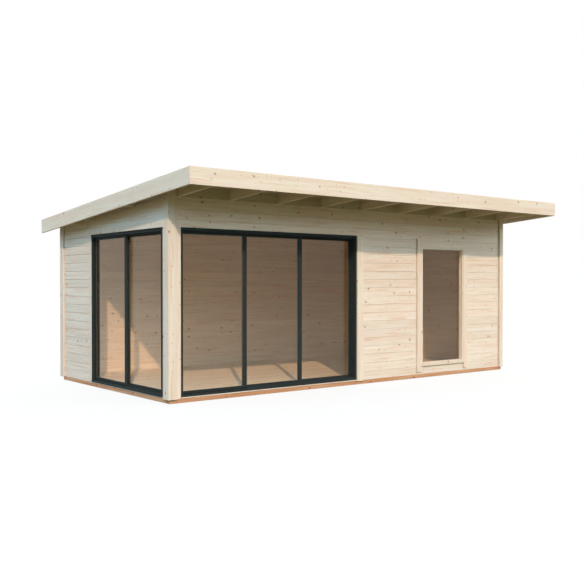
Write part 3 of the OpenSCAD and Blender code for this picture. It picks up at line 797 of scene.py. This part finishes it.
# one leaf: rails with a track slot, stiles, glazing beads, rubber seals and the pane's edge spacer
# slim takes some width off the stiles at the two ends, where leaves meet
def doorLeaf(name, sashNode, glassNode, along, body, slim=(0.0, 0.0)):
    low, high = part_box(sashNode)
    paneLow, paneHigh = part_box(glassNode)
    across = 1 - along
    run = (low[along] + slim[0], high[along] - slim[1])
    rise, deep = (low.z, high.z), (low[across], high[across])
    clear, clearRise = (paneLow[along], paneHigh[along]), (paneLow.z, paneHigh.z)
    pane = (paneLow[across], paneHigh[across])
    bead, ease = sashSize["bead"], sashSize["ease"]
    middle = (deep[0] + deep[1]) / 2
    slot = (middle - sashSize["slotWide"] / 2, middle + sashSize["slotWide"] / 2)
    plain = (0, 0, 0)
    piece = newPiece()
    footWeb, headWeb = rise[0] + sashSize["footSlot"], rise[1] - sashSize["headSlot"]
    for z0, z1 in ((footWeb, clearRise[0] - bead), (clearRise[1] + bead, headWeb)):
        addBoard(piece, *corners(along, run, deep, (z0, z1)), along, ease, plain)
    for z0, z1 in ((rise[0], footWeb), (headWeb, rise[1])):
        for flange in ((deep[0], slot[0]), (slot[1], deep[1])):
            addBoard(piece, *corners(along, run, flange, (z0, z1)), along, sashSize["flangeEase"], plain)
    beadRise = (clearRise[0] - bead, clearRise[1] + bead)
    for a, b in ((run[0], clear[0] - bead), (clear[1] + bead, run[1])):
        addBoard(piece, *corners(along, (a, b), deep, beadRise), 2, ease, plain)
    back = sashSize["beadBack"]
    addRing(piece, along, (clear[0] - bead, clear[1] + bead), beadRise,
            (deep[0] + back, deep[1] - back), (bead, bead, bead), ease, sashSize["beadTone"])
    seal, sealThick = sashSize["seal"], sashSize["sealThick"]
    for side in ((pane[0] - sealThick, pane[0]), (pane[1], pane[1] + sealThick)):
        addRing(piece, along, clear, clearRise, side, (seal, seal, seal), sashSize["sealEase"],
                sashSize["sealTone"])
    finishPiece(name + "Frame", piece, coat, [sashNode], body)
    piece = newPiece()
    half = sashSize["spacerThick"] / 2
    centre = (pane[0] + pane[1]) / 2
    wide = seal + sashSize["spacer"]
    addRing(piece, along, clear, clearRise, (centre - half, centre + half), (wide, wide, wide),
            sashSize["spacerEase"])
    finishPiece(name + "Spacer", piece, spacerMetal, (), body)


doorLeaf("frontLeafLeft", "front_sash_left", "front_glass_left", 0, "root",
         (0.0, sashSize["leftSlim"]))
doorLeaf("frontLeafMiddle", "front_sash_middle", "front_glass_middle", 0, "front_middle_leaf",
         (sashSize["middleSlim"], 0.0))
doorLeaf("frontLeafRight", "front_sash_right", "front_glass_right", 0, "front_right_leaf",
         (sashSize["rightSlim"], 0.0))
doorLeaf("sideLeafBack", "side_sash_back", "side_glass_back", 1, "root")
doorLeaf("sideLeafFront", "side_sash_front", "side_glass_front", 1, "side_front_leaf")

coverSize = {"proud": 0.003, "sunk": 0.001, "head": 0.016, "jamb": 0.012, "sill": 0.012, "ease": 0.001,
             "tone": 0.1, "dripProud": 0.0095, "dripLap": 0.0005, "frontDrip": 0.004, "sideDrip": 0.011,
             "sideStartJamb": 0.024}


# cover strips along the outer edge of each door frame, and one more beside the first jamb where asked
def frameCovers(name, headNode, sillNode, along, drip, startJamb=0.0):
    headLow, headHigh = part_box(headNode)
    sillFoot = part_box(sillNode)[0].z
    run, face = (headLow[along], headHigh[along]), headLow[1 - along]
    head, jamb, sill = coverSize["head"], coverSize["jamb"], coverSize["sill"]
    deep = (face - coverSize["proud"], face + coverSize["sunk"])
    ease, tone = coverSize["ease"], coverSize["tone"]
    piece = newPiece()
    addRing(piece, along, run, (sillFoot, headHigh.z), deep, (jamb, sill, head), ease, tone)
    # drip that hangs from the sill in front of the threshold
    nose = (face - coverSize["dripProud"], face - coverSize["proud"] + coverSize["dripLap"])
    stamp = (0, 0, tone)
    addBoard(piece, *corners(along, run, nose, (sillFoot - drip, sillFoot + sill)), along, ease, stamp)
    if startJamb:
        start, rise = headLow[along] + jamb, (sillFoot + sill, headHigh.z - head)
        addBoard(piece, *corners(along, (start, start + startJamb), deep, rise), 2, ease, stamp)
    finishPiece(name, piece, coat)


frameCovers("frontFrameCovers", "front_door_head", "front_door_sill", 0, coverSize["frontDrip"])
frameCovers("sideFrameCovers", "side_door_head", "side_door_sill", 1, coverSize["sideDrip"],
            coverSize["sideStartJamb"])
print("doors hung")

stageLook = {
    "floorSide": 80.0,
    "floorBounce": tint(94, 88, 54),
    "floorPale": tint(244, 244, 242),
    "floorGlow": 0.82,
    "floorGap": 0.001,
    "white": (1.0, 1.0, 1.0, 1.0),
    "leftSky": (0.98, 1.62, 2.20, 1.0),
    "frontSky": (2.30, 2.42, 2.42, 1.0),
    "sideSpan": (-0.7, 0.5),
    "lowSky": (0.36, 0.37, 0.26, 1.0),
    "lowSpan": (0.13, 0.36),
    "lowTilt": 0.1,
    "zenith": 0.36,
    "zenithSpan": (0.4, 0.85),
    "sunColour": (1.0, 0.76, 0.56),
    "sunPower": 2.0,
    "sunWay": (0.43, 0.73, -0.542),
    "sunWide": 1.2,
}


# 1 for rays that look at the backdrop, straight or in a mirror or pane
def lookingRays(w):
    path = w.node("LightPath", out="Is Camera Ray")
    return path + path.also("Is Glossy Ray") + path.also("Is Transmission Ray")


# pale floor that keeps the shadow, a sky with two sides, and the sun
def buildStage():
    finish, w = newFinish("paleFloor")
    looking = lookingRays(w)
    shade = w.blend(looking, stageLook["floorBounce"], stageLook["floorPale"])
    diffuse = w.node("BsdfDiffuse", {}, {"Color": shade})
    glow = w.node("Emission", {}, {"Color": stageLook["white"], "Strength": 1.0})
    mixed = w.node("MixShader", {}, {0: looking * stageLook["floorGlow"], 1: diffuse, 2: glow})
    w.node("OutputMaterial", {}, {"Surface": mixed})
    grid = bmesh.new()
    bmesh.ops.create_grid(grid, x_segments=1, y_segments=1, size=stageLook["floorSide"] / 2)
    bmesh.ops.translate(grid, vec=(0, 0, cadBox[0][2] - stageLook["floorGap"]), verts=grid.verts)
    mesh = bpy.data.meshes.new("floor")
    grid.to_mesh(mesh)
    grid.free()
    mesh.materials.append(finish)
    floor = bpy.data.objects.new("floor", mesh)
    scene.collection.objects.link(floor)

    world = bpy.data.worlds.new("softSky")
    world.use_nodes = True
    world.node_tree.nodes.clear()
    w = Wire(world.node_tree)
    way = w.node("SeparateXYZ", {}, {"Vector": w.node("TexCoord", out="Generated")})
    side = way.ease(*stageLook["sideSpan"])
    rise = way.also("Z") + side * stageLook["lowTilt"]
    sky = w.blend(side, stageLook["leftSky"], stageLook["frontSky"])
    high = w.node("HueSaturation", {}, {"Color": sky, "Value": stageLook["zenith"]})
    sky = w.blend(rise.ease(*stageLook["zenithSpan"]), sky, high)
    sky = w.blend(rise.ease(*stageLook["lowSpan"]), stageLook["lowSky"], sky)
    colour = w.blend(lookingRays(w), sky, stageLook["white"])
    w.node("OutputWorld", {}, {"Surface": w.node("Background", {}, {"Color": colour, "Strength": 1.0})})
    scene.world = world

    sun = bpy.data.lights.new("sun", "SUN")
    sun.energy, sun.color = stageLook["sunPower"], stageLook["sunColour"]
    sun.angle = math.radians(stageLook["sunWide"])
    lamp = bpy.data.objects.new("sun", sun)
    lamp.rotation_euler = Vector(stageLook["sunWay"]).to_track_quat("-Z", "Y").to_euler()
    scene.collection.objects.link(lamp)


cameraLook = {"place": (-7.503, -9.160, 1.363), "turn": 38.27, "tilt": -0.666, "lens": 50.0, "sensor": 36.0,
              "farEnd": 200}


def setCamera():
    camera = bpy.data.cameras.new("camera")
    camera.lens, camera.sensor_width = cameraLook["lens"], cameraLook["sensor"]
    camera.clip_end = cameraLook["farEnd"]
    holder = bpy.data.objects.new("camera", camera)
    holder.location = cameraLook["place"]
    holder.rotation_euler = (math.radians(90 + cameraLook["tilt"]), 0, math.radians(-cameraLook["turn"]))
    scene.collection.objects.link(holder)
    scene.camera = holder


buildStage()
setCamera()
scene.view_settings.view_transform = "Standard"
bpy.data.meshes.remove(scratch)
print("stage lit")
